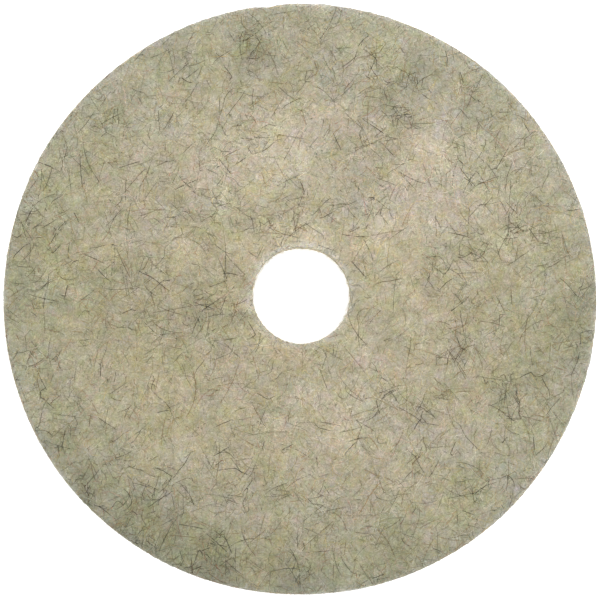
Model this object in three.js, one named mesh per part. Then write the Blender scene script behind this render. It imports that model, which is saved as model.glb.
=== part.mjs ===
// Felted hair-and-fibre polishing wheel, 20 inch (508 mm), for a rotary floor burnisher.
//
// The wheel is a flat annular pad of lofty nonwoven web, 1 inch (25.4 mm) thick, with a die-cut
// centre hole of 3 1/4 inch (82.55 mm) for the centring boss of the machine's pad driver.
// Coarse natural hair is carded together with pale polyester fibre, and the web is cross-lapped,
// needled and bonded with resin, so the wheel is a stack of web plies:
//
//   back_ply         resin-set ply, the face that the driver grips or that rests on the floor
//   lower_core_ply   soft core ply
//   upper_core_ply   soft core ply
//   face_ply         resin-set ply with the polishing face
//
// The plies lie face to face and are held together by needled fibres and binder, so nothing
// moves. The four are cut through in one stroke, so they share one rim and one hole, and the
// cutting die rounds over the two outside edges a little.
//
// Frame: millimetres, +Z up, origin at the centre of the underside, +Z along the wheel's axis.

import * as THREE from "three";

// Driving dimensions, in millimetres.
const INCH = 25.4;
const WHEEL_DIAMETER = 20 * INCH;
const HOLE_DIAMETER = 3.25 * INCH;
const WHEEL_THICKNESS = 1 * INCH;
const BACK_THICKNESS = 5.25; // resin-set back ply
const CORE_THICKNESS = 7.5; // each of the two soft core plies
const RIM_BREAK = 1.6; // rounding of the outside edge of the two outer plies
const HOLE_BREAK = 0.8; // the same at the hole
const ARC_STEPS = 3; // facets in each rounded edge
const SEGMENTS = 120; // facets round the wheel

const R_OUT = WHEEL_DIAMETER / 2;
const R_IN = HOLE_DIAMETER / 2;
const FACE_THICKNESS = WHEEL_THICKNESS - BACK_THICKNESS - 2 * CORE_THICKNESS;

// Points of a quarter round of radius r about (cx, cz), from angle a to angle b in degrees.
function quarter(cx, cz, r, a, b) {
  const points = [];
  for (let i = 0; i <= ARC_STEPS; i++) {
    const t = THREE.MathUtils.degToRad(a + ((b - a) * i) / ARC_STEPS);
    points.push(new THREE.Vector2(cx + r * Math.cos(t), cz + r * Math.sin(t)));
  }
  return points;
}

// The radial section of one ply from z = 0 to z = t, going round counter-clockwise.
// roundTop and roundBottom say which of its faces is an outside face of the wheel.
function plySection(t, roundBottom, roundTop) {
  const p = [];
  if (roundBottom) {
    p.push(...quarter(R_IN + HOLE_BREAK, HOLE_BREAK, HOLE_BREAK, 180, 270));
    p.push(...quarter(R_OUT - RIM_BREAK, RIM_BREAK, RIM_BREAK, 270, 360));
  } else {
    p.push(new THREE.Vector2(R_IN, 0), new THREE.Vector2(R_OUT, 0));
  }
  if (roundTop) {
    p.push(...quarter(R_OUT - RIM_BREAK, t - RIM_BREAK, RIM_BREAK, 0, 90));
    p.push(...quarter(R_IN + HOLE_BREAK, t - HOLE_BREAK, HOLE_BREAK, 90, 180));
  } else {
    p.push(new THREE.Vector2(R_OUT, t), new THREE.Vector2(R_IN, t));
  }
  p.push(p[0].clone());
  return p;
}

// One ply as a solid of revolution about +Z, standing on z = 0 of its own mesh.
function plyGeometry(t, roundBottom, roundTop) {
  const section = plySection(t, roundBottom, roundTop);
  const geometry = new THREE.LatheGeometry(section, SEGMENTS);
  geometry.rotateX(Math.PI / 2); // the lathe turns about Y
  return geometry;
}

const resinSetWeb = new THREE.MeshStandardMaterial({
  name: "resin_set_web",
  color: new THREE.Color().setRGB(0.675, 0.648, 0.548, THREE.SRGBColorSpace),
  roughness: 0.94,
  metalness: 0,
});
const loftyWeb = new THREE.MeshStandardMaterial({
  name: "lofty_web",
  color: new THREE.Color().setRGB(0.71, 0.685, 0.585, THREE.SRGBColorSpace),
  roughness: 0.98,
  metalness: 0,
});

const wheel = new THREE.Group();
wheel.name = "felted_polishing_wheel";

const plies = [
  // name, thickness, rounded below, rounded above, material
  ["back_ply", BACK_THICKNESS, true, false, resinSetWeb],
  ["lower_core_ply", CORE_THICKNESS, false, false, loftyWeb],
  ["upper_core_ply", CORE_THICKNESS, false, false, loftyWeb],
  ["face_ply", FACE_THICKNESS, false, true, resinSetWeb],
];

let z = 0;
for (const [name, thickness, roundBottom, roundTop, material] of plies) {
  const ply = new THREE.Mesh(plyGeometry(thickness, roundBottom, roundTop), material);
  ply.name = name;
  ply.position.z = z;
  wheel.add(ply);
  z += thickness;
}

export default wheel;
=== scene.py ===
"""Looks for the 20 inch natural-hair-and-fibre polishing wheel: four needled web plies, the coarse dark hair
and the pale crimped fibre that are felted through them, a pale floor, soft light and the camera.

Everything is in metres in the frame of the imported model. All randomness is seeded."""

import math

import bpy
import numpy as np
from mathutils import Matrix, Vector


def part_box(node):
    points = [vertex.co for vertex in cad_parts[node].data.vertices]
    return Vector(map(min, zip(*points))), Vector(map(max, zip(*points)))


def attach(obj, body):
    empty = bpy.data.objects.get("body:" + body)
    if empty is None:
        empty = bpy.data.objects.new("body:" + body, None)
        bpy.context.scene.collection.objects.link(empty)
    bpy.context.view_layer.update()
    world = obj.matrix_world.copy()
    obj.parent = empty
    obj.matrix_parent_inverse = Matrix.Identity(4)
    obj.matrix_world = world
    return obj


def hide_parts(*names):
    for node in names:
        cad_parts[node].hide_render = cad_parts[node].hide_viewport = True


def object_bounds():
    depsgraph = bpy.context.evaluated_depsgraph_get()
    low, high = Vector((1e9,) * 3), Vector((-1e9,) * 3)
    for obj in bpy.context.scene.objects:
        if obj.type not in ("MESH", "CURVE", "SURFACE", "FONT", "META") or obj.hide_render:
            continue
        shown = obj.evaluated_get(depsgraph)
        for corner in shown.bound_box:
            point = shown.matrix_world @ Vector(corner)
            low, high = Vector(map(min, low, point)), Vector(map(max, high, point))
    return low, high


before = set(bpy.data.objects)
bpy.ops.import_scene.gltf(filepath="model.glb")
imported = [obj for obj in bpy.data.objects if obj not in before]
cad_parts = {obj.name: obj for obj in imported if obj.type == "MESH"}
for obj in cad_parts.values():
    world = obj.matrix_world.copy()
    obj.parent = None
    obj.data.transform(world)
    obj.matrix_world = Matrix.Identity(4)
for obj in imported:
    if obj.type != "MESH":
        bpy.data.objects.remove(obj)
CAD_LO, CAD_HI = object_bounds()

MM = 0.001
PLIES = ["back_ply", "lower_core_ply", "upper_core_ply", "face_ply"]
BOXES = {n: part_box(n) for n in PLIES}
R_OUT = (CAD_HI.x - CAD_LO.x) / 2
Z_TOP = CAD_HI.z
# The hole's radius, read from the frame: the nearest any vertex comes to the axis.
R_IN = min(math.hypot(v.co.x, v.co.y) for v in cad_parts["face_ply"].data.vertices)


# ------------------------------------------------------------------------------------------------
# Seeded noise in numpy
# ------------------------------------------------------------------------------------------------


def _hash(ix, iy, iz, seed):
    with np.errstate(over="ignore"):
        n = (
            ix.astype(np.uint32) * np.uint32(73856093)
            ^ iy.astype(np.uint32) * np.uint32(19349663)
            ^ iz.astype(np.uint32) * np.uint32(83492791)
            ^ np.uint32((seed * 2654435761 + 12345) & 0xFFFFFFFF)
        )
        n ^= n >> np.uint32(15)
        n *= np.uint32(0x85EBCA6B)
        n ^= n >> np.uint32(13)
        n *= np.uint32(0xC2B2AE35)
        n ^= n >> np.uint32(16)
    return n


def noise(p, cell, seed):
    """Gradient noise of unit variance, about: p is (..., 3) in metres and cell is the lattice spacing, a number or three."""
    p = np.asarray(p, float)
    q = p / np.asarray(cell, float) + 1000.37 + 17.13 * seed
    i = np.floor(q)
    f = q - i
    i = i.astype(np.int64)
    u = f * f * f * (f * (f * 6 - 15) + 10)
    total = np.zeros(q.shape[:-1])
    for dx in (0, 1):
        wx = u[..., 0] if dx else 1 - u[..., 0]
        for dy in (0, 1):
            wy = u[..., 1] if dy else 1 - u[..., 1]
            for dz in (0, 1):
                wz = u[..., 2] if dz else 1 - u[..., 2]
                h = _hash(i[..., 0] + dx, i[..., 1] + dy, i[..., 2] + dz, seed)
                gx = (h & np.uint32(1023)).astype(float) / 511.5 - 1
                gy = ((h >> np.uint32(10)) & np.uint32(1023)).astype(float) / 511.5 - 1
                gz = ((h >> np.uint32(20)) & np.uint32(1023)).astype(float) / 511.5 - 1
                dot = (
                    gx * (f[..., 0] - dx)
                    + gy * (f[..., 1] - dy)
                    + gz * (f[..., 2] - dz)
                )
                total += wx * wy * wz * dot
    return total / 0.235


def fbm(p, cell, octaves, seed, gain=0.5):
    total, amp, norm = 0.0, 1.0, 0.0
    cell = np.asarray(cell, float)
    for k in range(octaves):
        total = total + amp * noise(p, cell / 2.03**k, seed + 31 * k)
        norm += amp * amp
        amp *= gain
    return total / math.sqrt(norm)


def smooth(a, b, x):
    t = np.clip((x - a) / (b - a), 0, 1)
    return t * t * (3 - 2 * t)


def to_linear(c):
    c = np.asarray(c, float) / 255.0
    return np.where(c <= 0.04045, c / 12.92, ((c + 0.055) / 1.055) ** 2.4)


# ------------------------------------------------------------------------------------------------
# The web: its outline, the height of its two faces, and its clouds of colour
# ------------------------------------------------------------------------------------------------


def outline(phi):
    """How far the cut edge stands from the true circle, in metres: a hand-fed die cuts a soft web a little unevenly."""
    w = (
        0.40 * np.cos(2 * phi - 0.75)
        + 0.28 * np.cos(3 * phi + 1.4)
        + 0.20 * np.cos(4 * phi - 2.0)
        + 0.18 * np.cos(5 * phi - 0.9)
        + 0.16 * np.cos(7 * phi + 0.6)
        + 0.10 * np.cos(11 * phi + 2.1)
    )
    nick = np.exp(-((np.degrees((phi - math.radians(96.5) + np.pi) % (2 * np.pi) - np.pi) / 2.1) ** 2))
    return (0.75 * w - 0.55 - 1.5 * nick) * MM


def bore_outline(phi):
    w = 0.18 * np.cos(2 * phi + 0.3) + 0.14 * np.cos(3 * phi - 1.1) + 0.12 * np.cos(5 * phi + 2.0)
    return w * MM


def bore_flare(z):
    """The hole opens a little towards the back, as the web was squeezed while the die went through."""
    return (0.60 + 1.25 * np.clip((Z_TOP - z) / Z_TOP, 0, 1)) * MM


def lumps(p):
    """Relief of the faces in metres, about zero, from felting and uneven batt weight."""
    q = p * np.array([1, 1, 3.0])
    h = 0.26 * noise(q, 60 * MM, 3)
    h += 0.20 * noise(q, 22 * MM, 4)
    h += 0.17 * noise(q, 9.5 * MM, 5)
    h += 0.13 * noise(q, 4.8 * MM, 6)
    return h * MM


# Places where the coarse hair has felted into tufts: x, y and spread in mm, and how many hairs.
TUFTS = [
    (86, 152, 7, 32),
    (92, 184, 9, 20),
    (-76, 75, 10, 24),
    (-132, -206, 9, 20),
    (129, -56, 8, 16),
    (-127, -169, 10, 26),
    (-12, 68, 9, 14),
    (-60, -172, 8, 14),
    (-88, -12, 8, 18),
    (187, 62, 8, 14),
    (-176, -170, 7, 12),
    (-80, -226, 9, 18),
    (142, -162, 8, 12),
    (-45, 216, 7, 18),
    (177, -88, 9, 18),
    (56, 78, 8, 10),
]


# Broad soft areas where the blank came out thick and dark or thin and pale: x, y and spread in mm, and the change in brightness.
ZONES = [
    (-80, -230, 25, -0.26),
    (-145, -195, 25, -0.20),
    (0, -245, 25, -0.22),
    (75, -235, 20, -0.16),
    (245, -15, 20, -0.22),
    (200, -60, 20, -0.16),
    (-240, 0, 20, -0.16),
    (-190, -150, 25, -0.14),
    (-155, -10, 25, -0.14),
    (-90, -15, 15, -0.16),
    (-45, 215, 15, -0.16),
    (90, 185, 15, -0.16),
    (-10, 130, 25, 0.15),
    (10, 45, 20, 0.14),
    (75, 65, 20, 0.10),
    (25, -110, 20, 0.12),
    (110, 110, 25, 0.10),
    (-75, 115, 20, 0.12),
]


def zone_field(p):
    f = np.zeros(p.shape[:-1])
    wx = p[..., 0] + 7 * MM * noise(p, 30 * MM, 81)
    wy = p[..., 1] + 7 * MM * noise(p, 30 * MM, 82)
    for x, y, s, a in ZONES:
        f += a * np.exp(-((wx - x * MM) ** 2 + (wy - y * MM) ** 2) / (2 * (s * MM) ** 2))
    return f


def tuft_field(p):
    f = np.zeros(p.shape[:-1])
    for x, y, s, n in TUFTS:
        d2 = (p[..., 0] - x * MM) ** 2 + (p[..., 1] - y * MM) ** 2
        f += (n / 20.0) * np.exp(-d2 / (2 * (1.25 * s * MM) ** 2))
    return f * smooth(0.012, 0.022, p[..., 2])


def hair_density(p):
    """Log density of coarse hair over the faces, about zero."""
    q = p * np.array([1, 1, 5.0])
    return 0.60 * noise(q, 40 * MM, 11) + 0.50 * noise(q, 17 * MM, 12) - 2.2 * np.minimum(zone_field(p), 0)


EXPOSE = 1.004  # what the light makes of a white face
BASE = to_linear([173.6, 166.6, 139.8]) / EXPOSE


def clouds(p):
    """The web's colour, linear, at points p: coarse clouds of batt weight and blend, darker where hair lies thick under
    the surface, paler towards the cut edges. Painted light is in it too: the face lighter towards +y and a little +x,
    painted shade towards the rim, and a painted highlight on the edge towards 55°.
    """
    q = p * np.array([1, 1, 4.0])
    r = np.hypot(p[..., 0], p[..., 1])
    top = smooth(0.010, 0.020, p[..., 2])
    # painted light: the face is lighter towards +y and a little +x and darker towards the lower left, as the light
    # falls; on the walls and the back at 40% of its strength
    painted_light_slope = (0.35 * p[..., 0] + 0.94 * p[..., 1]) / R_OUT
    L = 0.045 * painted_light_slope * (0.4 + 0.6 * top)
    L = L + zone_field(p) * (0.5 + 0.5 * top)
    L = L + 0.018 * noise(q, 85 * MM, 21)
    L = L + 0.029 * noise(q, 38 * MM, 22)
    L = L + 0.038 * noise(q, 17 * MM, 23)
    L = L + 0.038 * noise(q, 8 * MM, 24)
    L = L + 0.033 * noise(q, 4.2 * MM, 25)
    dens = hair_density(p)
    tuft = tuft_field(p)
    L = L - 0.010 * dens - 0.055 * tuft
    # painted shade: paler in the middle and darker towards the rim, the light's falloff across the face painted into
    # the colour
    L = L + 0.045 * (1 - smooth(0.045, 0.20, r)) - 0.038 * smooth(0.19, 0.246, r)
    a = 0.22 * noise(q, 50 * MM, 41) + 0.68 * noise(q, 16 * MM, 42) + 1.05 * noise(q, 6 * MM, 43) + 0.7 * noise(q, 3 * MM, 44)
    b = 0.50 * noise(q, 50 * MM, 51) + 1.1 * noise(q, 14 * MM, 52) + 1.4 * noise(q, 5.5 * MM, 53) + 0.65 * noise(q, 3 * MM, 54)
    a = a - 0.7 * tuft - 0.45 * dens
    # the blend is a little redder in the middle and greener at the rim, and yellower across the middle
    a = a + 0.55 - 1.75 * smooth(0.13, 0.245, r) + 3.5 * np.minimum(zone_field(p), 0)
    b = b - 0.30 + 3.0 * np.minimum(zone_field(p), 0) + 1.35 * np.exp(-(((p[..., 1] - 0.005) / 0.085) ** 2))
    b = b - 0.75 * np.exp(-((p[..., 0] - 0.15) ** 2 + (p[..., 1] - 0.14) ** 2) / (2 * 0.08**2))
    b = b - 0.80 * np.exp(-((p[..., 0] - 0.06) ** 2 + (p[..., 1] - 0.11) ** 2) / (2 * 0.05**2))
    b = b + 0.80 * np.exp(-((p[..., 0] + 0.12) ** 2 + (p[..., 1] + 0.10) ** 2) / (2 * 0.075**2))
    edge = smooth(R_OUT - 0.0075, R_OUT - 0.0005, r) + (1 - smooth(R_IN + 0.0005, R_IN + 0.008, r))
    # the cut walls themselves keep more of the web's colour than the pressed edge of the face does
    wall = smooth(Z_TOP - 0.0012, Z_TOP - 0.0045, p[..., 2]) * np.where(r > 0.1, 1.0, 0.55)
    edge = np.clip(edge, 0, 1) * (1 - 0.62 * wall)
    # the cut edges are paler, and towards 55° (+x, +y) paler still: a painted highlight of the light falling on the
    # rounded edge from that side
    L = L + edge * (0.165 + 0.08 * np.cos(np.arctan2(p[..., 1], p[..., 0]) - math.radians(55)) * smooth(0.1, 0.2, r))
    wide = smooth(R_OUT - 0.028, R_OUT - 0.002, r)
    wide = wide * (1 - 0.5 * wall)
    L = L + 0.022 * wide + 0.05 * wall * np.where(r > 0.1, wide, 1.0)
    sat = 1 - 0.50 * edge - 0.12 * wide * (1 - edge)
    a = a - 1.5 * edge - 0.6 * wide + 1.3 * wall * (r > 0.1)
    # a > 0 is pinkish and a < 0 greenish; b > 0 is yellowish and b < 0 greyish
    red = 1 + 0.021 * a * sat
    green = 1 - 0.006 * a * sat
    blue = 1 + 0.012 * a * sat - 0.046 * b * sat
    grey = BASE.mean()
    col = grey + (BASE - grey) * sat[..., None]
    col = col * np.stack([red, green, blue], -1)
    # where L is higher the colour is a little less yellow: thin, pale places are less yellow than thick, dark ones, and
    # the painted light and shade in L are mapped the same way
    return np.clip(col * np.exp(L[..., None] * np.array([1.02, 0.99, 1.20])), 0.01, 0.95)


# ------------------------------------------------------------------------------------------------
# Mesh helpers
# ------------------------------------------------------------------------------------------------


def add_object(name, verts, loops, starts, colours=None, uvs=None, smooth_faces=True):
    """A mesh object from flat arrays: loops are the vertex indices face by face, and starts where each face begins."""
    me = bpy.data.meshes.new(name)
    me.vertices.add(len(verts))
    me.vertices.foreach_set("co", np.asarray(verts, np.float32).ravel())
    me.loops.add(len(loops))
    me.loops.foreach_set("vertex_index", np.asarray(loops, np.int32))
    me.polygons.add(len(starts))
    me.polygons.foreach_set("loop_start", np.asarray(starts, np.int32))
    if smooth_faces:
        me.polygons.foreach_set("use_smooth", np.ones(len(starts), bool))
    me.update(calc_edges=True)
    if uvs is not None:
        layer = me.uv_layers.new(name="OFBake")
        layer.data.foreach_set("uv", np.asarray(uvs, np.float32).ravel())
    if colours is not None:
        at = me.attributes.new("tint", "FLOAT_COLOR", "POINT")
        rgba = np.ones((len(verts), 4), np.float32)
        rgba[:, :3] = colours
        at.data.foreach_set("color", rgba.ravel())
    ob = bpy.data.objects.new(name, me)
    bpy.context.scene.collection.objects.link(ob)
    return ob


def tubes(name, pts, rad, col, sides, mat):
    """Closed thin tubes along the paths pts (N, K, 3), of radius rad (N, K), coloured col (N, K, 3), as one object. Each tube has its own cell in the bake's UV map."""
    n, k, _ = pts.shape
    tan = np.gradient(pts, axis=1)
    tan /= np.maximum(np.linalg.norm(tan, axis=2, keepdims=True), 1e-9)
    side = np.cross(tan, np.array([0, 0, 1.0]))
    flat = np.linalg.norm(side, axis=2, keepdims=True)
    other = np.cross(tan, np.array([1.0, 0, 0]))
    w = smooth(0.15, 0.45, flat)
    side = side * w + other * (1 - w)
    side /= np.maximum(np.linalg.norm(side, axis=2, keepdims=True), 1e-9)
    up = np.cross(side, tan)
    ang = 2 * np.pi * (np.arange(sides) + 0.25) / sides
    ring = pts[:, :, None, :] + rad[:, :, None, None] * (
        np.cos(ang)[None, None, :, None] * side[:, :, None, :]
        + np.sin(ang)[None, None, :, None] * up[:, :, None, :]
    )
    verts = ring.reshape(-1, 3)
    colours = np.repeat(col.reshape(-1, 3), sides, axis=0)
    i, j, s = np.meshgrid(np.arange(n), np.arange(k - 1), np.arange(sides), indexing="ij")
    s1 = (s + 1) % sides
    idx = lambda jj, ss: (i * k + jj) * sides + ss
    quad = np.stack([idx(j, s), idx(j + 1, s), idx(j + 1, s1), idx(j, s1)], -1).reshape(-1, 4)
    grid = int(math.ceil(math.sqrt(n)))
    cx, cy = (i % grid).astype(float), (i // grid).astype(float)
    u0 = (cx + 0.12 + 0.76 * j / (k - 1)) / grid
    u1 = (cx + 0.12 + 0.76 * (j + 1) / (k - 1)) / grid
    v0 = (cy + 0.12 + 0.76 * s / sides) / grid
    v1 = (cy + 0.12 + 0.76 * (s + 1) / sides) / grid
    uv = np.stack(
        [np.stack([u0, v0], -1), np.stack([u1, v0], -1), np.stack([u1, v1], -1), np.stack([u0, v1], -1)],
        -2,
    ).reshape(-1, 4, 2)
    # end caps
    t = np.arange(n)
    ends, end_uv = [], []
    for jj, order in ((0, range(sides)), (k - 1, range(sides - 1, -1, -1))):
        ends.append(np.stack([(t * k + jj) * sides + q for q in order], -1))
        uu = ((t % grid) + (0.06 if jj == 0 else 0.94)) / grid
        corner = []
        for q in order:
            corner.append(np.stack([uu + 0.03 / grid * math.cos(ang[q]), ((t // grid) + 0.5 + 0.03 * math.sin(ang[q])) / grid], -1))
        end_uv.append(np.stack(corner, -2))
    loops = np.concatenate([quad.ravel()] + [e.ravel() for e in ends])
    uvs = np.concatenate([uv.reshape(-1, 2)] + [e.reshape(-1, 2) for e in end_uv])
    starts = np.concatenate([np.arange(len(quad)) * 4, len(quad) * 4 + np.arange(2 * n) * sides])
    ob = add_object(name, verts, loops, starts, colours, uvs)
    ob.data.materials.append(mat)
    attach(ob, "root")
    return ob


# ------------------------------------------------------------------------------------------------
# Materials
# ------------------------------------------------------------------------------------------------


class Nodes:
    """A little shorthand for node trees."""

    def __init__(self, name):
        self.mat = bpy.data.materials.new(name)
        self.mat.use_nodes = True
        self.nt = self.mat.node_tree
        self.nt.nodes.clear()
        self.out = self.nt.nodes.new("ShaderNodeOutputMaterial")
        self.p = self.nt.nodes.new("ShaderNodeBsdfPrincipled")
        self.nt.links.new(self.p.outputs[0], self.out.inputs["Surface"])
        self.coords = self.nt.nodes.new("ShaderNodeTexCoord").outputs["Object"]

    def put(self, socket, value):
        if isinstance(value, bpy.types.NodeSocket):
            self.nt.links.new(value, socket)
        elif value is not None:
            socket.default_value = value

    def math(self, op, a, b=None, c=None, clamp=False):
        n = self.nt.nodes.new("ShaderNodeMath")
        n.operation, n.use_clamp = op, clamp
        for s, v in zip(n.inputs, (a, b, c)):
            self.put(s, v)
        return n.outputs[0]

    def vmath(self, op, a, b=None, scale=None):
        n = self.nt.nodes.new("ShaderNodeVectorMath")
        n.operation = op
        self.put(n.inputs[0], a)
        if b is not None:
            self.put(n.inputs[1], b)
        if scale is not None:
            self.put(n.inputs[3], scale)
        return n.outputs[1] if op == "LENGTH" else n.outputs[0]

    def noise(self, scale, detail=2.0, rough=0.5, distortion=0.0, vector=None, colour=False, offset=None):
        n = self.nt.nodes.new("ShaderNodeTexNoise")
        n.noise_dimensions = "3D"
        v = vector or self.coords
        if offset is not None:
            v = self.vmath("ADD", v, offset)
        self.nt.links.new(v, n.inputs["Vector"])
        n.inputs["Scale"].default_value = scale
        n.inputs["Detail"].default_value = detail
        n.inputs["Roughness"].default_value = rough
        n.inputs["Distortion"].default_value = distortion
        return n.outputs[1] if colour else n.outputs[0]

    def ramp(self, x, lo, hi, to_lo=0.0, to_hi=1.0):
        n = self.nt.nodes.new("ShaderNodeMapRange")
        n.interpolation_type = "SMOOTHSTEP"
        for s, v in zip(n.inputs, (x, lo, hi, to_lo, to_hi)):
            self.put(s, v)
        return n.outputs[0]

    def attribute(self, name):
        n = self.nt.nodes.new("ShaderNodeAttribute")
        n.attribute_name = name
        return n.outputs["Color"]

    def mix(self, fac, a, b, kind="MIX"):
        n = self.nt.nodes.new("ShaderNodeMix")
        n.data_type, n.blend_type = "RGBA", kind
        self.put(n.inputs[0], fac)
        self.put(n.inputs[6], a)
        self.put(n.inputs[7], b)
        return n.outputs[2]

    def bump(self, height, distance, strength=1.0, normal=None):
        n = self.nt.nodes.new("ShaderNodeBump")
        n.inputs["Strength"].default_value = strength
        n.inputs["Distance"].default_value = distance
        self.nt.links.new(height, n.inputs["Height"])
        if normal is not None:
            self.nt.links.new(normal, n.inputs["Normal"])
        return n.outputs[0]


def curl_layer(m, scale, width, offset, distortion=0.5, detail=1.0):
    """Thin wandering lines, 1 on a line and 0 off it: the contour of a smooth noise looks like crimped fibre."""
    n = m.noise(scale, detail=detail, rough=0.45, distortion=distortion, offset=offset)
    d = m.math("ABSOLUTE", m.math("SUBTRACT", n, 0.5))
    return m.ramp(d, 0.0, width, 1.0, 0.0)


def web_material(name, depth=1.0, squash=None):
    """Matted, resin-bonded nonwoven: clouds of colour, crimped fibre at the surface, dark gaps between fibres, soft roughness and relief."""
    m = Nodes(name)
    tint = m.attribute("tint")
    if squash is not None:
        m.coords = m.vmath("MULTIPLY", m.coords, squash)
    # fibre mat
    c1 = curl_layer(m, 260, 0.034, (1.3, 0.2, 0.7), 0.9)
    c2 = curl_layer(m, 390, 0.036, (4.1, 2.2, 5.7), 0.7)
    c3 = curl_layer(m, 560, 0.042, (7.9, 6.1, 2.3), 0.5)
    c4 = curl_layer(m, 160, 0.030, (2.9, 8.1, 3.3), 0.9)
    fibre = m.math("MAXIMUM", c1, m.math("MAXIMUM", m.math("MULTIPLY", c2, 0.9), m.math("MULTIPLY", c3, 0.8)))
    gap = m.noise(520, detail=3, rough=0.65, distortion=0.5, offset=(0.4, 9.1, 3.2))
    gap = m.ramp(gap, 0.36, 0.60, 0.0, 1.0)
    grain = m.noise(1100, detail=2, rough=0.6, offset=(5.5, 1.1, 8.2))
    # tone: fibres pale, gaps dark, plus sunken thin hair
    tone = m.math("ADD", m.math("MULTIPLY", fibre, 0.17 * depth), m.math("MULTIPLY", gap, 0.20 * depth))
    tone = m.math("ADD", tone, m.math("MULTIPLY", grain, 0.22 * depth))
    tone = m.math("ADD", tone, 1.0 - 0.130 * depth)
    tone = m.math("SUBTRACT", tone, m.math("MULTIPLY", c4, 0.12 * depth))
    shade = m.nt.nodes.new("ShaderNodeCombineColor")
    m.put(shade.inputs[0], tone)
    m.put(shade.inputs[1], tone)
    m.put(shade.inputs[2], m.math("POWER", tone, 1.25))
    col = m.mix(1.0, tint, shade.outputs[0], "MULTIPLY")
    m.put(m.p.inputs["Base Color"], col)
    height = m.math("ADD", m.math("MULTIPLY", fibre, 0.9), m.math("MULTIPLY", gap, 0.8))
    height = m.math("ADD", height, m.math("MULTIPLY", grain, 0.5))
    m.put(m.p.inputs["Normal"], m.bump(height, 0.00040, 0.9))
    m.put(m.p.inputs["Roughness"], m.ramp(gap, 0.0, 1.0, 0.98, 0.84))
    m.p.inputs["Specular IOR Level"].default_value = 0.25
    m.p.inputs["Sheen Weight"].default_value = 0.08
    m.p.inputs["Sheen Roughness"].default_value = 0.6
    return m.mat


def hair_material(name, rough, spec, along):
    """One hair's colour is in its tint; along it run bands a little lighter and darker, as natural hair has."""
    m = Nodes(name)
    tint = m.attribute("tint")
    band = m.noise(along, detail=3, rough=0.6, offset=(3.1, 4.7, 1.9))
    col = m.mix(1.0, tint, m.ramp(band, 0.3, 0.7, 0.80, 1.22), "MULTIPLY")
    m.put(m.p.inputs["Base Color"], col)
    m.p.inputs["Roughness"].default_value = rough
    m.p.inputs["Specular IOR Level"].default_value = spec
    return m.mat


MAT_FACE = web_material("resin_set_web", 1.0)
MAT_CORE = web_material("lofty_web", 1.0, squash=(0.75, 0.75, 1.5))
MAT_HAIR = hair_material("coarse_hair", 0.48, 0.28, 420)
MAT_PALE = hair_material("crimped_fibre", 0.6, 0.2, 600)

# ------------------------------------------------------------------------------------------------
# The ply bodies
# ------------------------------------------------------------------------------------------------


def ring(r, z, step, zone, phase=0.0, count=None):
    n = count or max(24, int(round(2 * np.pi * r / step)))
    phi = (np.arange(n) + phase) / n * 2 * np.pi
    return {"r": np.full(n, r), "z": np.full(n, z), "phi": phi, "zone": zone}


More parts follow.
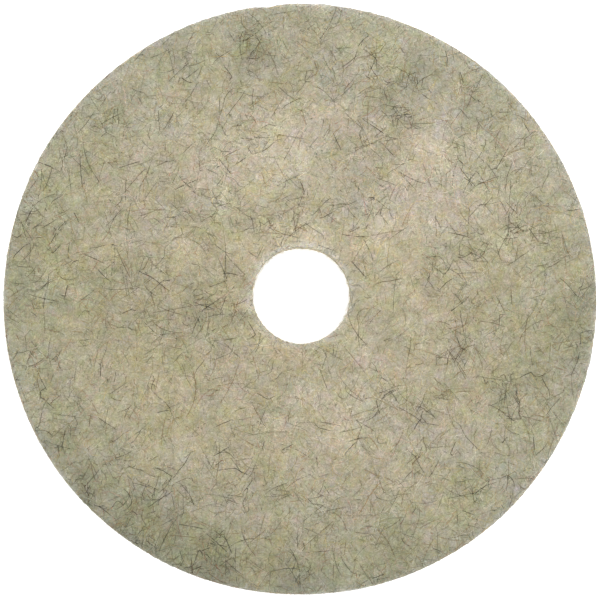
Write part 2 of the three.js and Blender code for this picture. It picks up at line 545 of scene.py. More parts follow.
def ply_body(name, node, z0, z1, open_top, open_bottom, mat, slot, seed):
    """One ply as a closed body: rings from the bore along the underside, up the rim, back over the top and down the bore, pushed about by the web's relief."""
    rng = np.random.default_rng(seed)
    rings = []
    fine = 1.62 * MM
    coarse = 14 * MM
    rim_step = 0.66 * MM
    edge_r = 2.6 * MM
    # Profile as (r, z, spacing, zone). Outside edges are rounded over.
    path = []

    def span(ra, rb, z, step, zone):
        m = max(2, int(round(abs(rb - ra) / (step * 0.90))))
        for t in np.linspace(0, 1, m, endpoint=False):
            path.append((ra + (rb - ra) * t, z, step, zone))

    def arc(cr, cz, rad, a0, a1, m, zone, step):
        for t in np.linspace(0, 1, m, endpoint=False):
            a = math.radians(a0 + (a1 - a0) * t)
            path.append((cr + rad * math.cos(a), cz + rad * math.sin(a), step, zone))

    in_r = 1.1 * MM
    low_r = 0.5 * MM
    wall = 1.45 * MM
    if open_bottom:
        span(R_IN + low_r, R_OUT - edge_r, z0, fine, "bottom")
        arc(R_OUT - edge_r, z0 + edge_r, edge_r, -90, 0, 5, "rim", wall)
        zs = z0 + edge_r
    else:
        span(R_IN, R_OUT, z0, coarse, "bottom")
        zs = z0
    ze = z1 - edge_r if open_top else z1
    for t in np.linspace(0, 1, max(3, int(round((ze - zs) / rim_step))), endpoint=False):
        path.append((R_OUT, zs + (ze - zs) * t, wall, "rim"))
    if open_top:
        arc(R_OUT - edge_r, z1 - edge_r, edge_r, 0, 90, 5, "rim", wall)
        span(R_OUT - edge_r, R_IN + in_r, z1, fine, "top")
        arc(R_IN + in_r, z1 - in_r, in_r, 90, 180, 3, "bore", 1.2 * MM)
        zs = z1 - in_r
    else:
        path.append((R_OUT, z1, wall, "rim"))
        span(R_OUT - 3 * MM, R_IN, z1, coarse, "top")
        zs = z1
    ze = z0 + low_r if open_bottom else z0
    for t in np.linspace(0, 1, max(3, int(round((zs - ze) / rim_step))), endpoint=False):
        path.append((R_IN, zs + (ze - zs) * t, 1.2 * MM, "bore"))
    if open_bottom:
        arc(R_IN + low_r, z0 + low_r, low_r, 180, 270, 3, "bore", 1.2 * MM)
    for k, (r, z, step, zone) in enumerate(path):
        rings.append(ring(r, z, step, zone, phase=0.5 * (k % 2)))
    # vertices
    first = np.cumsum([0] + [len(q["phi"]) for q in rings])
    phi = np.concatenate([q["phi"] for q in rings])
    r = np.concatenate([q["r"] for q in rings])
    z = np.concatenate([q["z"] for q in rings])
    zone = np.concatenate([[q["zone"]] * len(q["phi"]) for q in rings])
    is_top, is_bottom, is_rim, is_bore = (zone == q for q in ("top", "bottom", "rim", "bore"))
    jit = np.where((is_top & open_top) | (is_bottom & open_bottom), 0.34 * fine, 0.0)
    r_nom = r.copy()
    phi = phi + rng.uniform(-1, 1, len(r)) * jit / np.maximum(r, 0.02)
    r = r + rng.uniform(-1, 1, len(r)) * jit * smooth(0, 6 * MM, np.minimum(R_OUT - r, r - R_IN))
    P = np.stack([r * np.cos(phi), r * np.sin(phi), z], -1)
    # faces' relief, fading at the cut edges, where the die has pressed the web
    h = lumps(P) + 0.10 * MM * noise(P, 2.4 * MM, 7)
    rimward = smooth(0, 9 * MM, R_OUT - r_nom) * smooth(0, 5 * MM, r_nom - R_IN)
    press = 0.75 * MM * (1 - smooth(0, 11 * MM, R_OUT - r_nom)) + 0.45 * MM * (1 - smooth(0, 6 * MM, r_nom - R_IN))
    if open_top:
        w = is_top | ((is_rim | is_bore) & (z > z1 - edge_r - 1e-6))
        z = np.where(w, z + h * (0.25 + 0.75 * rimward) - press, z)
    if open_bottom:
        # the underside rests on the floor: it is flattened, and only rises from it
        w = is_bottom | ((is_rim | is_bore) & (z < z0 + edge_r + 1e-6))
        z = np.where(w, z + np.abs(h) * 0.9 * (0.25 + 0.75 * rimward) + 0.5 * press, z)
    # the cut walls: strata of web, drawn in at the seams between plies
    s = np.stack([R_OUT * np.cos(phi), R_OUT * np.sin(phi), z], -1)
    strata = (
        0.20 * noise(s, (22 * MM, 22 * MM, 2.6 * MM), 61)
        + 0.26 * noise(s, (6.5 * MM, 6.5 * MM, 2.4 * MM), 62)
        + 0.24 * noise(s, (2.6 * MM, 2.6 * MM, 1.6 * MM), 63)
        + 0.24 * noise(s, (60 * MM, 60 * MM, 12 * MM), 64)
    )
    t = np.clip((z - z0) / (z1 - z0), 0, 1)
    seam = np.zeros(len(z))
    if not open_bottom:
        seam += np.exp(-((z - z0) / (0.9 * MM)) ** 2)
    if not open_top:
        seam += np.exp(-((z1 - z) / (0.9 * MM)) ** 2)
    depth = 0.30 * (0.55 + 0.45 * np.clip(noise(s, (35 * MM, 35 * MM, 50 * MM), 65), -1, 1.5))
    bulge = 0.30 * np.sin(np.pi * t)
    out = (strata * 0.8 - depth * seam + bulge) * MM
    r = np.where(is_rim, r + out - 0.25 * MM, r)
    flare = bore_flare(z)
    r = np.where(is_bore, r - 0.45 * out + flare, r)
    near_rim = smooth(14 * MM, 0, R_OUT - r_nom)
    near_bore = smooth(9 * MM, 0, r_nom - R_IN)
    r = r + outline(phi) * near_rim + bore_outline(phi) * near_bore
    r = np.where(is_top | is_bottom, r + bore_flare(z) * smooth(5 * MM, 0, r_nom - R_IN), r)
    P = np.stack([r * np.cos(phi), r * np.sin(phi), z], -1)
    # triangles between neighbouring rings, which may hold different numbers of points
    tris, tri_zone = [], []
    count = len(rings)
    for k in range(count):
        a, b = rings[k], rings[(k + 1) % count]
        ia, ib = first[k], first[(k + 1) % count]
        na, nb = len(a["phi"]), len(b["phi"])
        pa = np.concatenate([a["phi"], [a["phi"][0] + 2 * np.pi]])
        pb = np.concatenate([b["phi"], [b["phi"][0] + 2 * np.pi]])
        zn = a["zone"] if a["zone"] == b["zone"] else ("rim" if "rim" in (a["zone"], b["zone"]) else "bore")
        i = j = 0
        pa_l, pb_l = pa.tolist(), pb.tolist()
        while i < na or j < nb:
            step_a = j >= nb or (i < na and pa_l[i + 1] + pa_l[i] <= pb_l[j + 1] + pb_l[j])
            if step_a:
                tris.append((ia + i % na, ia + (i + 1) % na, ib + j % nb))
                i += 1
            else:
                tris.append((ia + i % na, ib + (j + 1) % nb, ib + j % nb))
                j += 1
            tri_zone.append(zn)
    tris = np.array(tris)
    tri_zone = np.array(tri_zone)
    # make the faces point out
    v = P[tris]
    vol = np.einsum("ij,ij->i", v[:, 0], np.cross(v[:, 1], v[:, 2])).sum()
    if vol < 0:
        tris = tris[:, ::-1]
    # colours, with the painted light and painted shade that clouds() holds
    col = clouds(P)
    rim_mask = np.where(is_rim | is_bore, 1.0, 0.0)
    sq = P * np.array([1, 1, 1.0])
    layer = 0.03 * noise(sq, (26 * MM, 26 * MM, 2.4 * MM), 71) + 0.05 * noise(sq, (6 * MM, 6 * MM, 3.0 * MM), 72)
    layer = layer + 0.05 * noise(sq, 2.8 * MM, 73)
    # painted shade: the walls darkened along the seams between plies, in the recess where the wall is drawn in
    seam_painted_shade = 0.07 * seam
    # the bore wall lightened by up to exp(0.36) below its top edge: painted light for the shade the hole's wall lies
    # in; the rim walls a little lighter, by exp(0.05)
    col = col * np.exp(rim_mask * (layer - seam_painted_shade) + np.where(is_bore, 0.36 * smooth(0.8 * MM, 3 * MM, Z_TOP - P[:, 2]), 0.05 * rim_mask))[:, None]
    # bake layout
    uv = body_uv(P, tris, tri_zone, z0, z1, open_top, open_bottom)
    loops = tris.ravel()
    starts = np.arange(len(tris)) * 3
    ob = add_object(name, P, loops, starts, np.clip(col, 0.01, 0.95), uv)
    ob.data.materials.append(mat)
    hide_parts(node)
    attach(ob, "root")
    return ob


def body_uv(P, tris, zone, z0, z1, open_top, open_bottom):
    """A bake layout of its own: the shown face flat at full size, the cut walls as strips, and hidden faces in a corner."""
    q = P[tris]  # (T, 3, 3)
    mid = q.mean(1)
    phi_mid = np.arctan2(mid[:, 1], mid[:, 0]) % (2 * np.pi)
    phi = np.arctan2(q[..., 1], q[..., 0]) % (2 * np.pi)
    # unwrap corners to lie by their triangle's middle
    phi = phi + 2 * np.pi * np.round((phi_mid[:, None] - phi) / (2 * np.pi))
    zz = (q[..., 2] - z0) / (z1 - z0)
    rr = np.hypot(q[..., 0], q[..., 1])
    uv = np.zeros((len(tris), 3, 2))
    shown_face = "top" if open_top else ("bottom" if open_bottom else None)
    # how far along the wall's section a point is: up the wall, then over the rounded edge
    over_rim = np.clip((R_OUT - rr) / (4 * MM), 0, 1) * (zz > 0.5 if open_top else zz < 0.5)
    over_bore = np.clip((rr - R_IN) / (4 * MM), 0, 1) * (zz > 0.5 if open_top else zz < 0.5)
    lift = 1 if open_top else -1
    wall_t = {
        "rim": np.clip((zz * 0.6 + 0.2) + lift * 0.2 * over_rim, 0, 1),
        "bore": np.clip((zz * 0.6 + 0.2) + lift * 0.2 * over_bore, 0, 1),
    }
    if shown_face:
        scale = 0.485 / R_OUT
        m = zone == shown_face
        uv[m] = 0.5 + q[m][..., :2] * scale
        m = (zone != shown_face) & ((zone == "top") | (zone == "bottom"))
        uv[m] = 0.5 + q[m][..., :2] * (0.012 / R_OUT)
        corners = [(0.005, 0.005), (0.855, 0.005), (0.005, 0.855), (0.855, 0.855)]
        strips, width, height, per = 28, 0.138, 0.0185, 7
        for name, boxes, count in (("rim", corners, strips),):
            m = zone == name
            k = np.floor(phi_mid[m] / (2 * np.pi) * count).astype(int) % count
            along = phi[m] / (2 * np.pi) * count - k[:, None]
            bx = np.array(boxes)[k // per]
            row = k % per
            uv[m, :, 0] = bx[:, None, 0] + width * (0.02 + 0.96 * np.clip(along, -0.02, 1.02))
            uv[m, :, 1] = bx[:, None, 1] + (row[:, None] + 0.06 + 0.88 * wall_t["rim"][m]) * height * 1.06
        # the bore's strips lie in the hole of the shown face
        m = zone == "bore"
        count = 4
        k = np.floor(phi_mid[m] / (2 * np.pi) * count).astype(int) % count
        along = phi[m] / (2 * np.pi) * count - k[:, None]
        y_at = np.array([0.5 - 0.052, 0.5 - 0.032, 0.5 + 0.016, 0.5 + 0.036])
        uv[m, :, 0] = 0.5 - 0.05 + 0.10 * (0.02 + 0.96 * np.clip(along, -0.02, 1.02))
        uv[m, :, 1] = y_at[k][:, None] + 0.016 * wall_t["bore"][m]
    else:
        m = zone == "rim"
        count = 8
        k = np.floor(phi_mid[m] / (2 * np.pi) * count).astype(int) % count
        along = phi[m] / (2 * np.pi) * count - k[:, None]
        uv[m, :, 0] = 0.004 + 0.992 * (0.005 + 0.99 * np.clip(along, -0.01, 1.01))
        uv[m, :, 1] = (k[:, None] + 0.08 + 0.84 * np.clip(zz[m], 0, 1)) * 0.085
        m = zone == "bore"
        count = 2
        k = np.floor(phi_mid[m] / (2 * np.pi) * count).astype(int) % count
        along = phi[m] / (2 * np.pi) * count - k[:, None]
        uv[m, :, 0] = 0.004 + 0.992 * (0.005 + 0.99 * np.clip(along, -0.01, 1.01))
        uv[m, :, 1] = 0.70 + (k[:, None] + 0.08 + 0.84 * np.clip(zz[m], 0, 1)) * 0.085
        m = (zone == "top") | (zone == "bottom")
        uv[m] = np.array([0.93, 0.93]) + q[m][..., :2] * (0.05 / R_OUT)
    return uv.reshape(-1, 2)


z_of = {n: (BOXES[n][0].z, BOXES[n][1].z) for n in PLIES}
ply_body("back_ply_web", "back_ply", *z_of["back_ply"], False, True, MAT_FACE, "resin_set_web", 101)
ply_body("lower_core_web", "lower_core_ply", *z_of["lower_core_ply"], False, False, MAT_CORE, "lofty_web", 102)
ply_body("upper_core_web", "upper_core_ply", *z_of["upper_core_ply"], False, False, MAT_CORE, "lofty_web", 103)
ply_body("face_ply_web", "face_ply", *z_of["face_ply"], True, False, MAT_FACE, "resin_set_web", 104)

# ------------------------------------------------------------------------------------------------
# Hair and fibre
# ------------------------------------------------------------------------------------------------


def face_height(xy, up):
    """The height of the web's face at xy, as the ply bodies have it."""
    p = np.concatenate([xy, np.full(xy.shape[:-1] + (1,), Z_TOP if up else 0.0)], -1)
    r = np.hypot(xy[..., 0], xy[..., 1])
    h = lumps(p)
    rimward = smooth(0, 9 * MM, R_OUT - r) * smooth(0, 5 * MM, r - R_IN)
    press = 0.75 * MM * (1 - smooth(0, 11 * MM, R_OUT - r)) + 0.45 * MM * (1 - smooth(0, 6 * MM, r - R_IN))
    edge = 2.6 * MM
    d = np.clip(r - (R_OUT - edge), 0, edge)
    drop = edge - np.sqrt(np.maximum(edge**2 - d**2, 0))
    if up:
        return Z_TOP + h * (0.25 + 0.75 * rimward) - press - drop
    return np.abs(h) * 0.9 * (0.25 + 0.75 * rimward) + 0.5 * press + drop


def in_plane_paths(rng, start, length, heading, curve, wobble, kinks, kink_angle, points, dense=48):
    """Fibres laid flat: each path's heading turns steadily by curve, wanders by wobble and breaks sharply at its kinks. A path stops where the die has cut it. Returns xy paths and which to keep."""
    n = len(start)
    t = np.linspace(0, 1, dense)
    step = length[:, None] / (dense - 1)
    head = heading[:, None] + curve[:, None] * t[None, :] * length[:, None]
    w = np.cumsum(rng.normal(0, 1, (n, dense)), axis=1) / math.sqrt(dense)
    # smooth the wander a little, so that it bends and doesn't rattle
    kern = np.ones(5) / 5
    w = np.apply_along_axis(lambda q: np.convolve(np.pad(q, 2, mode="edge"), kern, "valid"), 1, w)
    head = head + wobble[:, None] * w
    for j in range(kinks.max() if len(kinks) else 0):
        has = kinks > j
        at = rng.uniform(0.12, 0.88, n)
        turn = rng.choice([-1, 1], n) * rng.uniform(kink_angle[0], kink_angle[1], n)
        head = head + np.where(has, turn, 0)[:, None] * smooth(-0.02, 0.02, t[None, :] - at[:, None])
    dx = np.stack([np.cos(head), np.sin(head)], -1) * step[..., None]
    xy = start[:, None, :] + np.cumsum(dx, axis=1) - dx[:, :1]
    r = np.hypot(xy[..., 0], xy[..., 1])
    phi = np.arctan2(xy[..., 1], xy[..., 0])
    ok = (r < R_OUT - 0.9 * MM + outline(phi)) & (r > R_IN + 0.9 * MM + bore_outline(phi))
    stop = np.where(ok.all(1), dense - 1, np.argmin(ok, axis=1) - 1)
    keep = (stop > 0.22 * dense) & (stop * step[:, 0] > 1.5 * MM)
    pos = np.linspace(0, 1, points)[None, :] * stop[:, None]
    i0 = np.clip(np.floor(pos).astype(int), 0, dense - 2)
    f = (pos - i0)[..., None]
    a = np.take_along_axis(xy, i0[..., None], axis=1)
    b = np.take_along_axis(xy, i0[..., None] + 1, axis=1)
    return (a * (1 - f) + b * f)[keep], keep, stop[keep] * step[keep, 0]


def wave(rng, n, points, cycles):
    """A smooth random wave along each path, about -1 to 1."""
    t = np.linspace(0, 1, points)[None, :]
    out = 0
    for k in range(3):
        c = rng.uniform(0.4, 1.0, (n, 1)) * cycles * (1 + k)
        out = out + np.sin(2 * np.pi * (c * t + rng.uniform(0, 1, (n, 1)))) / (1 + k)
    return out / 1.45


def scatter(rng, n, z, bias):
    """n starting points over the ring, denser where the coarse hair is by bias."""
    out = []
    while sum(len(o) for o in out) < n:
        m = 4 * n
        r = np.sqrt(rng.uniform(R_IN**2, R_OUT**2, m))
        a = rng.uniform(0, 2 * np.pi, m)
        p = np.stack([r * np.cos(a), r * np.sin(a), np.full(m, z)], -1)
        keep = rng.uniform(0, 1, m) < np.exp(bias * hair_density(p)) / math.exp(bias * 2.2)
        out.append(p[keep, :2])
    return np.concatenate(out)[:n]


def headings(rng, n):
    """Directions of strands: the web is cross-lapped, so one direction is a little favoured."""
    a = rng.uniform(0, 2 * np.pi, n)
    b = rng.uniform(0, 2 * np.pi, n)
    pick = rng.uniform(0, 1.45, n) < 1 + 0.45 * np.cos(2 * (a - math.radians(68)))
    return np.where(pick, a, b)


def end_lift(rng, n, points, share, high):
    """A few fibres have a free end standing off the surface."""
    t = np.linspace(0, 1, points)[None, :]
    flip = rng.uniform(0, 1, (n, 1)) < 0.5
    t = np.where(flip, 1 - t, t)
    which = rng.uniform(0, 1, (n, 1)) < share
    return np.where(which, np.clip((t - 0.45) / 0.55, 0, 1) ** 2 * rng.uniform(0.3, 1, (n, 1)) * high, 0)


def taper(points, tip=0.55):
    t = np.linspace(-1, 1, points)
    return 1 - (1 - tip) * np.abs(t) ** 5


def face_strands(name, seed, up, count, length, width, curve, wobble, kink_share, points, sides, lift, sway, cycles, colour, mat, bias, loose=0.04, starts=None, kink_angle=(0.4, 1.5), high=2.4 * MM):
    rng = np.random.default_rng(seed)
    z = Z_TOP if up else 0.0
    start = scatter(rng, count, z, bias) if starts is None else starts(rng)
    n = len(start)
    lens = np.exp(rng.normal(math.log(length[0]), length[1], n)).clip(length[2], length[3])
    heading = headings(rng, n)
    # start each strand back by half its length, so that strands lie about their starting points
    start = start - 0.5 * lens[:, None] * np.stack([np.cos(heading), np.sin(heading)], -1) * 0.8
    r = np.hypot(start[:, 0], start[:, 1])
    lo, hi = R_IN + 1.5 * MM, R_OUT - 2 * MM
    start = start * (np.clip(r, lo, hi) / r)[:, None]
    cur = rng.normal(0, 1, n) * curve
    wob = np.abs(rng.normal(0, 1, n)) * wobble
    kinks = (rng.uniform(0, 1, n) < kink_share).astype(int) + (rng.uniform(0, 1, n) < kink_share * 0.4).astype(int)
    xy, keep, real = in_plane_paths(rng, start, lens, heading, cur, wob, kinks, kink_angle, points)
    n = len(xy)
    h = face_height(xy, up)
    off = lift + sway * wave(rng, n, points, cycles) * np.clip(real[:, None] / (25 * MM), 0.5, 2)
    free = end_lift(rng, n, points, loose, high)
    if up:
        zz = h + off + free
    else:
        zz = np.maximum(h - off, 0.15 * MM)
    w = np.exp(rng.normal(math.log(width[0]), width[1], n)).clip(width[2], width[3])
    rad = 0.5 * w[:, None] * taper(points)[None, :]
    pts = np.concatenate([xy, zz[..., None]], -1)
    if not up:
        pts[..., 2] = np.maximum(pts[..., 2], rad + 0.02 * MM)
    col = colour(rng, n, pts)
    return tubes(name, pts, rad, np.clip(col, 0.004, 0.95), sides, mat)


def blend_of(kinds, follow=0.5):
    """Strand colours drawn from kinds, a list of (share, sRGB, spread), each blended towards the web it is seen through."""

    def colour(rng, n, pts):
        share = np.array([k[0] for k in kinds], float)
        which = rng.choice(len(kinds), n, p=share / share.sum())
        base = to_linear([k[1] for k in kinds])[which]
        spread = np.array([k[2] for k in kinds])[which]
        veil = np.array([k[3] for k in kinds])[which]
        own = base * np.exp(rng.normal(0, 1, n) * spread)[:, None]
        # the web's colour here includes the painted light and painted shade of clouds(), so the strands that follow it
        # and are seen through it carry them too
        web = clouds(pts[:, ::2])  # every other point is enough
        full = np.repeat(web, 2, axis=1)[:, : pts.shape[1]]
        v = np.clip(veil + rng.normal(0, 0.12, n), 0, 0.95)[:, None, None]
        local = (full.mean(-1, keepdims=True) / BASE.mean()) ** follow
        return own[:, None, :] * local * (1 - v) + full * v

    return colour


DARK = blend_of(
    [
        (0.48, (42, 33, 14), 0.35, 0.0),
        (0.28, (74, 55, 22), 0.30, 0.05),
        (0.14, (122, 86, 34), 0.25, 0.12),
        (0.10, (60, 62, 34), 0.25, 0.15),
    ]
)
BOLD = blend_of(
    [
        (0.7, (38, 30, 14), 0.3, 0.0),
        (0.3, (66, 48, 22), 0.3, 0.05),
    ]
)
BITS = blend_of(
    [
        (0.38, (44, 35, 15), 0.3, 0.14),
        (0.22, (82, 60, 26), 0.3, 0.16),
        (0.12, (134, 98, 34), 0.3, 0.16),
        (0.12, (140, 74, 42), 0.3, 0.18),
        (0.16, (52, 68, 40), 0.3, 0.20),
    ]
)
SUNK = blend_of(
    [
        (0.26, (57, 48, 22), 0.3, 0.42),
        (0.22, (92, 72, 32), 0.3, 0.40),
        (0.17, (146, 112, 38), 0.25, 0.34),
        (0.15, (146, 80, 48), 0.25, 0.34),
        (0.20, (62, 84, 52), 0.25, 0.42),
    ]
)
PALE = blend_of(
    [
        (0.34, (216, 208, 184), 0.10, 0.42),
        (0.12, (226, 219, 199), 0.08, 0.30),
        (0.16, (190, 200, 162), 0.10, 0.38),
        (0.14, (218, 186, 164), 0.10, 0.38),
        (0.14, (206, 186, 126), 0.10, 0.36),
        (0.10, (144, 140, 112), 0.12, 0.40),
    ],
    follow=1.25,
)


def tuft_starts(rng):
    pts = []
    for x, y, s, n in TUFTS:
        pts.append(rng.normal(0, 1, (n, 2)) * s * MM + np.array([x, y]) * MM)
    return np.concatenate(pts)


# the polishing face
face_strands("face_bold_hair", 200, True, 130, (14 * MM, 0.45, 5 * MM, 40 * MM), (0.37 * MM, 0.15, 0.30 * MM, 0.48 * MM), 14, 0.35, 0.16, 15, 4, 0.24 * MM, 0.36 * MM, 1.4, BOLD, MAT_HAIR, 0.6)
face_strands("face_dark_hair", 201, True, 880, (17.5 * MM, 0.45, 5 * MM, 55 * MM), (0.26 * MM, 0.20, 0.18 * MM, 0.42 * MM), 12, 0.24, 0.17, 16, 4, 0.24 * MM, 0.30 * MM, 1.2, DARK, MAT_HAIR, 0.6)
face_strands("face_tuft_hair", 202, True, 0, (12 * MM, 0.40, 5 * MM, 26 * MM), (0.25 * MM, 0.2, 0.17 * MM, 0.38 * MM), 38, 0.7, 0.25, 12, 4, 0.20 * MM, 0.30 * MM, 1.2, DARK, MAT_HAIR, 0, starts=tuft_starts)
face_strands("face_sunken_hair", 203, True, 3000, (12.0 * MM, 0.45, 3.5 * MM, 38 * MM), (0.25 * MM, 0.2, 0.17 * MM, 0.42 * MM), 26, 0.5, 0.18, 10, 3, 0.11 * MM, 0.23 * MM, 1.1, SUNK, MAT_HAIR, 0.5, loose=0.02)
face_strands("face_hair_bits", 204, True, 2000, (3.0 * MM, 0.35, 1.5 * MM, 7.0 * MM), (0.265 * MM, 0.2, 0.19 * MM, 0.44 * MM), 60, 0.8, 0.2, 5, 3, 0.16 * MM, 0.15 * MM, 0.8, BITS, MAT_HAIR, 0.5, loose=0.05)
for k in range(5):
    face_strands(f"face_pale_fibre_{k + 1}", 210 + k, True, 3700, (18 * MM, 0.30, 7 * MM, 34 * MM), (0.22 * MM, 0.22, 0.13 * MM, 0.38 * MM), 70, 2.2, 0.10, 9, 3, 0.12 * MM, 0.26 * MM, 1.3, PALE, MAT_PALE, -0.15, loose=0.03, high=1.8 * MM)

# the back
face_strands("back_dark_hair", 221, False, 900, (21 * MM, 0.42, 6 * MM, 62 * MM), (0.30 * MM, 0.22, 0.18 * MM, 0.46 * MM), 9, 0.22, 0.30, 12, 3, 0.22 * MM, 0.25 * MM, 1.1, DARK, MAT_HAIR, 0.9, loose=0)
face_strands("back_sunken_hair", 222, False, 3000, (17 * MM, 0.45, 6 * MM, 50 * MM), (0.30 * MM, 0.2, 0.2 * MM, 0.45 * MM), 16, 0.45, 0.30, 8, 3, 0.10 * MM, 0.2 * MM, 1.0, SUNK, MAT_HAIR, 0.6, loose=0)
for k in range(2):
    face_strands(f"back_pale_fibre_{k + 1}", 230 + k, False, 3600, (20 * MM, 0.30, 8 * MM, 36 * MM), (0.28 * MM, 0.18, 0.17 * MM, 0.42 * MM), 60, 2.2, 0.10, 9, 3, 0.12 * MM, 0.22 * MM, 1.3, PALE, MAT_PALE, -0.15, loose=0)


def wall_strands(name, seed, rim, count, length, width, points, sides, colour, mat, rise=0.16, out=0.15 * MM, sway=0.35 * MM):
    """Strands lying along a cut wall, mostly level, weaving in and out of it."""
    rng = np.random.default_rng(seed)
    R = R_OUT if rim else R_IN
    n = count
    lens = np.exp(rng.normal(math.log(length[0]), length[1], n)).clip(length[2], length[3])
    phi0 = rng.uniform(0, 2 * np.pi, n)
    z0 = rng.uniform(1.0 * MM, Z_TOP - 1.6 * MM, n)
    t = np.linspace(0, 1, points)[None, :]
    tilt = rng.normal(0, rise, n)[:, None]
    s = t * lens[:, None] * np.cos(tilt)
    z = z0[:, None] + np.sin(tilt) * t * lens[:, None] + 0.7 * MM * wave(rng, n, points, 1.0)
    z = np.clip(z, 0.45 * MM, Z_TOP - 0.9 * MM)
    phi = phi0[:, None] + s / R + 0.6 * MM / R * wave(rng, n, points, 1.2)
    off = out + sway * wave(rng, n, points, 1.0)
    # follow the wall's rounding at the two faces
    edge = 2.6 * MM if rim else 1.1 * MM
    d = np.maximum(np.clip(z - (Z_TOP - edge - 0.4 * MM), 0, edge), np.clip(edge - z, 0, edge))
    drop = edge - np.sqrt(np.maximum(edge**2 - d**2, 0))
    if rim:
        r = R + outline(phi) - 0.25 * MM + (off - drop)
    else:
        flare = bore_flare(z)
        r = R + bore_outline(phi) + flare - (off - drop)
    w = np.exp(rng.normal(math.log(width[0]), width[1], n)).clip(width[2], width[3])
    rad = 0.5 * w[:, None] * taper(points)[None, :]
    pts = np.stack([r * np.cos(phi), r * np.sin(phi), np.maximum(z, rad + 0.05 * MM)], -1)
    return tubes(name, pts, rad, np.clip(colour(rng, n, pts), 0.004, 0.95), sides, mat)


def wall_stubs(name, seed, rim, count, reach, width, points, sides, colour, mat):
    """Cut ends that stand a little out of the wall."""
    rng = np.random.default_rng(seed)
    R = R_OUT if rim else R_IN
    n = count
    phi = rng.uniform(0, 2 * np.pi, n)
    z = rng.uniform(1.2 * MM, Z_TOP - 1.8 * MM, n)
    lens = np.exp(rng.normal(math.log(reach[0]), reach[1], n)).clip(reach[2], reach[3])
    t = np.linspace(-1.2, 1, points)[None, :]
    sgn = 1 if rim else -1
    lean = rng.normal(0, 0.8, n)[:, None]
    bend = rng.normal(0, 0.5, n)[:, None]
    radial = lens[:, None] * t
    across = lens[:, None] * (lean * t + bend * t * np.abs(t))
    r = R + (outline(phi) if rim else bore_outline(phi))[:, None] + sgn * (radial - 0.2 * MM)
    ph = phi[:, None] + across / R
    zz = z[:, None] + lens[:, None] * (rng.normal(0, 0.35, n)[:, None] * t - 0.25 * np.clip(t, 0, 1) ** 2)
    w = np.exp(rng.normal(math.log(width[0]), width[1], n)).clip(width[2], width[3])
    rad = 0.5 * w[:, None] * np.linspace(1, 0.7, points)[None, :]
    pts = np.stack([r * np.cos(ph), r * np.sin(ph), np.clip(zz, 0.4 * MM, Z_TOP)], -1)
    return tubes(name, pts, rad, np.clip(colour(rng, n, pts), 0.004, 0.95), sides, mat)


def edge_strands(name, seed, rim, count, length, width, points, sides, colour, mat, out=0.12 * MM, sway=0.22 * MM):
    """Strands felted over the rounded edge between the polishing face and a cut wall, in every direction."""
    rng = np.random.default_rng(seed)
    R, e, press = (R_OUT, 2.6 * MM, 0.75 * MM) if rim else (R_IN, 1.1 * MM, 0.45 * MM)
    n = count
    lens = np.exp(rng.normal(math.log(length[0]), length[1], n)).clip(length[2], length[3])
    head = rng.uniform(0, np.pi, n)[:, None]
    t = np.linspace(-0.5, 0.5, points)[None, :]
    turn = rng.normal(0, 0.9, n)[:, None] * t
    along = lens[:, None] * t * np.cos(head + turn)
    up = rng.uniform(-2.2, 2.6, n)[:, None] * MM + lens[:, None] * t * np.sin(head + turn)
    quarter = 0.5 * math.pi * e
    # keep to the last few millimetres of the wall and of the face
    up = np.clip(up, -4.5 * MM, quarter + 6.0 * MM)
    phi = rng.uniform(0, 2 * np.pi, n)[:, None] + along / R
    off = out + sway * wave(rng, n, points, 0.9)
    w = np.exp(rng.normal(math.log(width[0]), width[1], n)).clip(width[2], width[3])
    rad = 0.5 * w[:, None] * taper(points)[None, :]
    ang = np.clip(up / e, 0, 0.5 * math.pi)
    inward = np.maximum(up - quarter, 0)
    below = np.minimum(up, 0)
    # how far in from the wall the strand lies, and how far under the level of the face
    d_in = e - (e + off) * np.cos(ang) + inward
    z = Z_TOP - press - e + (e + off) * np.sin(ang) + below
    if rim:
        r = R + outline(phi) - 0.25 * MM - d_in
        z = z + 0.75 * MM * smooth(0, 11 * MM, d_in)
    else:
        r = R + bore_outline(phi) + bore_flare(z) + d_in
        z = z + 0.45 * MM * smooth(0, 6 * MM, d_in)
    p = np.stack([r * np.cos(phi), r * np.sin(phi), np.full_like(r, Z_TOP)], -1)
    z = z + 0.25 * lumps(p) * smooth(-2 * MM, 2 * MM, up)
    pts = np.stack([p[..., 0], p[..., 1], z], -1)
    return tubes(name, pts, rad, np.clip(colour(rng, n, pts), 0.004, 0.95), sides, mat)


edge_strands("rim_edge_fibre", 321, True, 3900, (8 * MM, 0.35, 3 * MM, 15 * MM), (0.22 * MM, 0.22, 0.12 * MM, 0.38 * MM), 9, 3, PALE, MAT_PALE, out=0.30 * MM)
edge_strands("rim_edge_hair", 322, True, 1100, (6 * MM, 0.45, 2.5 * MM, 14 * MM), (0.25 * MM, 0.2, 0.17 * MM, 0.40 * MM), 9, 3, SUNK, MAT_HAIR, out=0.30 * MM)
edge_strands("bore_edge_fibre", 323, False, 800, (5.5 * MM, 0.35, 2.5 * MM, 10 * MM), (0.23 * MM, 0.22, 0.14 * MM, 0.38 * MM), 9, 3, PALE, MAT_PALE, out=0.18 * MM)
edge_strands("bore_edge_hair", 324, False, 110, (5 * MM, 0.45, 2 * MM, 10 * MM), (0.25 * MM, 0.2, 0.17 * MM, 0.38 * MM), 9, 3, SUNK, MAT_HAIR)
wall_strands("rim_pale_fibre", 301, True, 4480, (9 * MM, 0.40, 3 * MM, 22 * MM), (0.22 * MM, 0.22, 0.12 * MM, 0.38 * MM), 8, 3, PALE, MAT_PALE, rise=0.55)
wall_strands("rim_hair", 302, True, 760, (7 * MM, 0.5, 2.0 * MM, 24 * MM), (0.28 * MM, 0.2, 0.18 * MM, 0.42 * MM), 9, 4, SUNK, MAT_HAIR, rise=0.5, out=0.2 * MM)
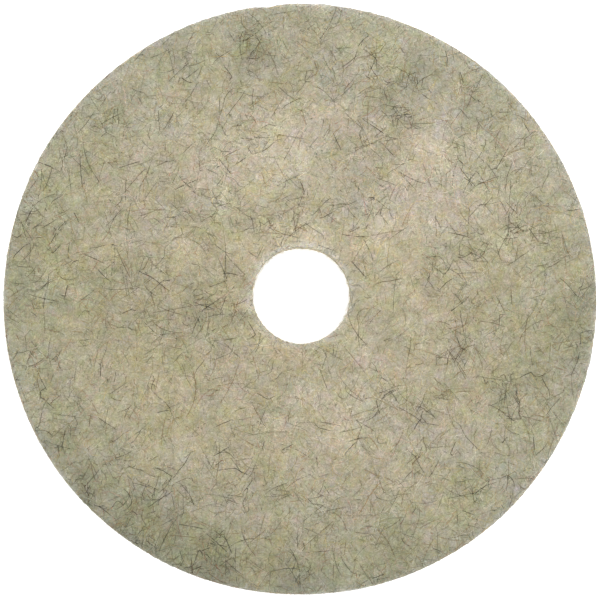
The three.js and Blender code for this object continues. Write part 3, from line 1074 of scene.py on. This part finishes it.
wall_strands("rim_dark_hair", 303, True, 300, (6 * MM, 0.5, 2.0 * MM, 20 * MM), (0.28 * MM, 0.2, 0.18 * MM, 0.42 * MM), 9, 4, DARK, MAT_HAIR, rise=0.5, out=0.25 * MM)
wall_stubs("rim_cut_hair", 304, True, 520, (0.9 * MM, 0.4, 0.4 * MM, 2.4 * MM), (0.26 * MM, 0.2, 0.18 * MM, 0.4 * MM), 5, 4, DARK, MAT_HAIR)
wall_stubs("rim_cut_fibre", 305, True, 4200, (0.8 * MM, 0.4, 0.4 * MM, 2.0 * MM), (0.24 * MM, 0.2, 0.16 * MM, 0.36 * MM), 5, 3, PALE, MAT_PALE)
wall_strands("bore_pale_fibre", 311, False, 640, (9 * MM, 0.35, 4 * MM, 18 * MM), (0.26 * MM, 0.18, 0.17 * MM, 0.4 * MM), 8, 3, PALE, MAT_PALE, rise=0.22)
wall_strands("bore_hair", 312, False, 150, (7 * MM, 0.5, 2.5 * MM, 18 * MM), (0.27 * MM, 0.2, 0.18 * MM, 0.4 * MM), 9, 4, SUNK, MAT_HAIR, rise=0.2)
wall_stubs("bore_cut_ends", 313, False, 460, (0.7 * MM, 0.4, 0.3 * MM, 1.6 * MM), (0.24 * MM, 0.2, 0.16 * MM, 0.36 * MM), 5, 3, PALE, MAT_PALE)

# ------------------------------------------------------------------------------------------------
# Floor, light and camera
# ------------------------------------------------------------------------------------------------

floor_me = bpy.data.meshes.new("studio_floor")
S = 60.0
floor_me.from_pydata([(-S, -S, 0), (S, -S, 0), (S, S, 0), (-S, S, 0)], [], [(0, 1, 2, 3)])
floor = bpy.data.objects.new("studio_floor", floor_me)
bpy.context.scene.collection.objects.link(floor)
fm = Nodes("pale_floor")
fm.put(fm.p.inputs["Base Color"], fm.mix(fm.noise(3.0, detail=2), (0.90, 0.90, 0.90, 1), (0.92, 0.92, 0.92, 1)))
fm.p.inputs["Roughness"].default_value = 0.9
fm.p.inputs["Specular IOR Level"].default_value = 0.1
fm.p.inputs["Emission Color"].default_value = (1, 1, 1, 1)
fm.p.inputs["Emission Strength"].default_value = 0.42
floor_me.materials.append(fm.mat)

world = bpy.data.worlds.new("studio")
bpy.context.scene.world = world
world.use_nodes = True
bg = next(n for n in world.node_tree.nodes if n.type == "BACKGROUND")
bg.inputs[0].default_value = (1.0, 1.0, 1.0, 1)
bg.inputs[1].default_value = 0.80


def area(name, at, aim, size, power, colour=(1, 1, 1)):
    data = bpy.data.lights.new(name, "AREA")
    data.shape = "DISK"
    data.size = size
    data.energy = power
    data.color = colour
    ob = bpy.data.objects.new(name, data)
    bpy.context.scene.collection.objects.link(ob)
    ob.location = at
    ob.rotation_euler = (Vector(aim) - Vector(at)).to_track_quat("-Z", "Y").to_euler()
    ob.visible_camera = False
    return ob


area("key", (0.30, 0.62, 1.7), (0, 0, 0), 1.1, 12)
area("fill", (-0.7, -1.5, 1.9), (0, 0, 0), 1.4, 16)

cam_data = bpy.data.cameras.new("camera")
cam = bpy.data.objects.new("camera", cam_data)
bpy.context.scene.collection.objects.link(cam)
bpy.context.scene.camera = cam
DIST, TILT, TOWARDS = 1.05, math.radians(3.7), math.radians(250)
target = Vector((-0.0012, -0.0042, Z_TOP))
back = Vector((math.sin(TILT) * math.cos(TOWARDS), math.sin(TILT) * math.sin(TOWARDS), math.cos(TILT)))
eye = target + DIST * back
fwd = -back
up = (Vector((0, 1, 0)) - fwd * fwd.y).normalized()
right = fwd.cross(up)
cam.matrix_world = Matrix(
    (
        (right.x, up.x, back.x, eye.x),
        (right.y, up.y, back.y, eye.y),
        (right.z, up.z, back.z, eye.z),
        (0, 0, 0, 1),
    )
)
cam_data.sensor_width = 36
cam_data.lens = 36 * DIST / (2 * R_OUT * 600 / 594.9)
cam_data.clip_start, cam_data.clip_end = 0.05, 200

view = bpy.context.scene.view_settings
view.view_transform = "Standard"
view.look = "None"
view.exposure = 0
view.gamma = 1
